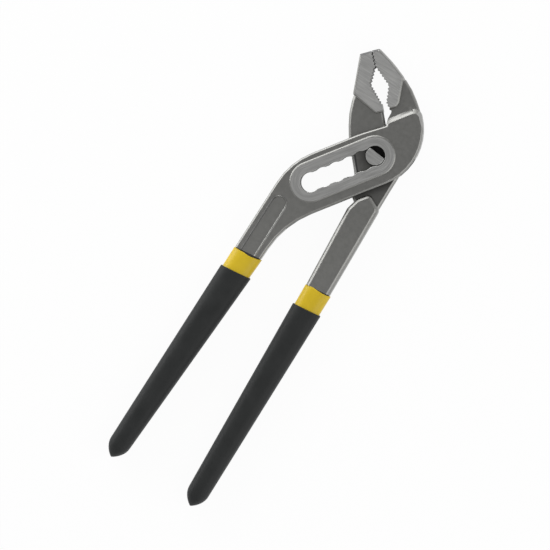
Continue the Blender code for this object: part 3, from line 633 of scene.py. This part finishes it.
def dipped_coat(name, handle, start, inner, outer, creep):
    """A vinyl sleeve over a tang, between two offsets from it. Its top edge lies at start from the
    collar, along the bath's level, and creep says how far it dips at a share of the half width."""
    rings = coat_rings(handle, start, outer)
    level, half_width, half_thickness = rings[0]
    bpy.ops.object.select_all(action="DESELECT")
    bpy.ops.mesh.primitive_circle_add(vertices=SECTION_SIDES, radius=1.0)
    coat = bpy.context.object
    coat.name = name
    for vertex in coat.data.vertices:
        x, y = vertex.co.xy
        vertex.co.x = half_width * math.copysign(abs(x) ** (2 / SECTION_POWER), x)
        vertex.co.y = half_thickness * math.copysign(abs(y) ** (2 / SECTION_POWER), y)
        vertex.co.z = level
    bpy.ops.object.mode_set(mode="EDIT")
    bpy.ops.mesh.select_mode(type="VERT")
    bpy.ops.mesh.select_all(action="SELECT")
    for near, far in zip(rings, rings[1:]):
        bpy.ops.mesh.extrude_edges_move(TRANSFORM_OT_translate={"value": (0.0, 0.0, far[0] - near[0])})
        bpy.ops.transform.resize(value=(far[1] / near[1], far[2] / near[2], 1.0),
                                 center_override=(0.0, 0.0, far[0]))
    bpy.ops.mesh.edge_face_add()
    bpy.ops.mesh.select_all(action="SELECT")
    bpy.ops.mesh.normals_make_consistent(inside=False)
    bpy.ops.object.mode_set(mode="OBJECT")
    wall = coat.modifiers.new("wall", "SOLIDIFY")
    wall.thickness = outer - inner
    wall.offset = -1.0
    bpy.ops.object.modifier_apply(modifier=wall.name)
    break_edges(coat, LIP_ROUND, steps=3, chosen=lambda near, far: max(near.z, far.z) < start + LIP_ROUND)
    slant = 1 / math.tan(BATH_ANGLE - handle["angle"])
    for vertex in coat.data.vertices:
        fade = max(0.0, 1.0 - (vertex.co.z - start) / BATH_FADE) ** 2
        side = max(-1.0, min(1.0, vertex.co.x / half_width))
        vertex.co.z += (vertex.co.x * slant + creep(side)) * fade
    along = slot_x * math.cos(handle["angle"]) + slot_y * math.sin(handle["angle"])
    up = Vector((0.0, 0.0, 1.0))
    collar = pin_place + slot_x * handle["collar"][0] + slot_y * handle["collar"][1]
    turn = Matrix((up.cross(along), up, along)).transposed().to_4x4()
    coat.matrix_world = Matrix.Translation(collar) @ turn
    bpy.ops.object.transform_apply(location=True, rotation=True, scale=True)
    bpy.ops.object.shade_smooth()
    return coat


def vinyl(name, dark, pale, roughness, gloss):
    """Dipped vinyl: an even colour, a soft sheen and a skin like fine orange peel."""
    material, shader, place = start_finish(name, metallic=0.0)
    patches = noise(material, place, scale=120.0, detail=4.0)
    mottle(material, shader, patches, dark, pale, roughness - VINYL_SPREAD, roughness + VINYL_SPREAD)
    shader.inputs["Specular IOR Level"].default_value = gloss
    peel = noise(material, place, scale=160.0, detail=1.0)
    bump(material, shader, peel, strength=0.25, distance=0.0002)
    grain = noise(material, place, scale=2600.0, detail=2.0)
    bump(material, shader, grain, strength=0.15, distance=0.00004)
    return material


def slotted_creep(side):
    """The yellow edge dips in the middle and more to the right of it, with a small peak on the left."""
    peak = PEAK_HEIGHT * math.exp(-((side - PEAK_SIDE) / PEAK_WIDTH) ** 2)
    return SLOTTED_DIP * math.cos(math.pi * side / 2) + SLOTTED_SWAY * math.sin(math.pi * side) - peak


def pivot_creep(side):
    """The yellow edge rises left of the middle and dips right of it."""
    return PIVOT_SWAY * math.sin(math.pi * side)


yellow = vinyl("yellow_vinyl", YELLOW_DARK, YELLOW_PALE, roughness=0.40, gloss=0.4)
for name, handle, body, creep in (("slotted", slotted_handle, "slotted_lever", slotted_creep),
                                  ("pivot", pivot_handle, "pivot_lever", pivot_creep)):
    undercoat = dipped_coat(name + "_yellow_sleeve", handle, 0.0, SKIN, UNDERCOAT_WALL, creep)
    undercoat.data.materials.append(yellow)
    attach(undercoat, body)
    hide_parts(name + "_undercoat")

# Grips. A second dip, in black vinyl, leaves a band of the yellow bare. It is thicker and softer,
# with a fine matt grain, and its top edge is a clean rounded step.
BAND_LENGTH = 0.0113
BOTH_WALLS = 0.0017
BLACK_DARK = (0.016, 0.0175, 0.0175)
BLACK_PALE = (0.0225, 0.024, 0.024)


def even_edge(side):
    """The black edge doesn't creep."""
    return 0.0


black = vinyl("black_vinyl", BLACK_DARK, BLACK_PALE, roughness=0.55, gloss=0.25)
for name, handle, body in (("slotted", slotted_handle, "slotted_lever"),
                           ("pivot", pivot_handle, "pivot_lever")):
    inside = UNDERCOAT_WALL + SKIN
    grip = dipped_coat(name + "_black_grip", handle, BAND_LENGTH, inside, BOTH_WALLS, even_edge)
    grip.data.materials.append(black)
    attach(grip, body)
    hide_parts(name + "_grip")

# Floor. A pale seamless sheet of paper on a table, lit so evenly that it looks white all over and
# takes only a trace of the tool's shadow.
FLOOR_SIZE = 6.0
PAPER_COLOUR = (0.9, 0.9, 0.9, 1.0)
WHITE_SHARE = 0.95
bpy.ops.object.select_all(action="DESELECT")
bpy.ops.mesh.primitive_plane_add(size=FLOOR_SIZE)
floor = bpy.context.object
floor.name = "floor"
paper = bpy.data.materials.new("white_paper")
paper.use_nodes = True
nodes = paper.node_tree.nodes
nodes.remove(nodes["Principled BSDF"])
lit = nodes.new("ShaderNodeBsdfDiffuse")
lit.inputs["Color"].default_value = PAPER_COLOUR
glow = nodes.new("ShaderNodeEmission")
path = nodes.new("ShaderNodeLightPath")
seen = path.outputs["Is Camera Ray"]
for ray in ("Is Glossy Ray", "Is Transmission Ray"):
    seen = math_node(paper, "MAXIMUM", seen, path.outputs[ray])
mixed = nodes.new("ShaderNodeMixShader")
link(paper, math_node(paper, "MULTIPLY", seen, WHITE_SHARE), mixed.inputs["Fac"])
link(paper, lit.outputs["BSDF"], mixed.inputs[1])
link(paper, glow.outputs["Emission"], mixed.inputs[2])
link(paper, mixed.outputs["Shader"], nodes["Material Output"].inputs["Surface"])
floor.data.materials.append(paper)

# Light and camera. A light tent round the table, a wide soft lamp low on the upper left, a weaker one
# on the lower right and a small one overhead. The camera looks down with the photo's slight lean.
TENT = ((0.0, 1.1), (0.35, 0.7), (0.6, 0.42), (1.0, 0.34))
PHOTO_PIXELS = 550
PIXEL = 0.00051
PIN_PIXEL = (375.75, 156.1)
SLOT_RISE = math.radians(21.8)
LEAN = math.radians(4.5)
VIEW_LEVEL = 0.0085
LENS = 520.0
SENSOR = 36.0
photo_turn = slot_turn - SLOT_RISE
photo_right = Vector((math.cos(photo_turn), math.sin(photo_turn), 0.0))
photo_up = Vector((-photo_right.y, photo_right.x, 0.0))
middle = (pin_place + photo_right * (PHOTO_PIXELS / 2 - PIN_PIXEL[0]) * PIXEL
          + photo_up * (PIN_PIXEL[1] - PHOTO_PIXELS / 2) * PIXEL)
middle.z = VIEW_LEVEL


def soft_lamp(name, right, up, height, width, tall, radiance):
    """A rectangular lamp at a place given in the photo's directions, turned to the middle of the tool."""
    light = bpy.data.lights.new(name, "AREA")
    light.shape = "RECTANGLE"
    light.size = width
    light.size_y = tall
    light.energy = radiance * math.pi * width * tall
    lamp = bpy.data.objects.new(name, light)
    bpy.context.scene.collection.objects.link(lamp)
    lamp.location = middle + photo_right * right + photo_up * up + Vector((0.0, 0.0, height))
    lamp.rotation_euler = (middle - lamp.location).to_track_quat("-Z", "Y").to_euler()


world = bpy.context.scene.world or bpy.data.worlds.new("studio")
bpy.context.scene.world = world
world.use_nodes = True
way = world.node_tree.nodes.new("ShaderNodeTexCoord")
split_way = world.node_tree.nodes.new("ShaderNodeSeparateXYZ")
link(world, way.outputs["Generated"], split_way.inputs["Vector"])
tent = ramp(world, split_way.outputs["Z"], [(height, (bright,) * 3) for height, bright in TENT])
link(world, tent, world.node_tree.nodes["Background"].inputs["Color"])
soft_lamp("key", right=-0.52, up=0.76, height=0.3, width=1.8, tall=0.6, radiance=3.0)
soft_lamp("fill", right=0.74, up=-0.35, height=0.74, width=1.2, tall=0.9, radiance=1.25)
soft_lamp("lift", right=-0.12, up=-0.18, height=0.6, width=0.3, tall=0.2, radiance=0.75)
view_width = PHOTO_PIXELS * PIXEL
camera_data = bpy.data.cameras.new("camera")
camera_data.lens = LENS
camera_data.sensor_width = SENSOR
camera = bpy.data.objects.new("camera", camera_data)
bpy.context.scene.collection.objects.link(camera)
toward = photo_right * math.sin(LEAN) + Vector((0.0, 0.0, math.cos(LEAN)))
camera.location = middle + toward * view_width * LENS / SENSOR
camera.rotation_euler = Matrix((photo_up.cross(toward), photo_up, toward)).transposed().to_euler()
bpy.context.scene.camera = camera
bpy.context.scene.view_settings.view_transform = "Standard"
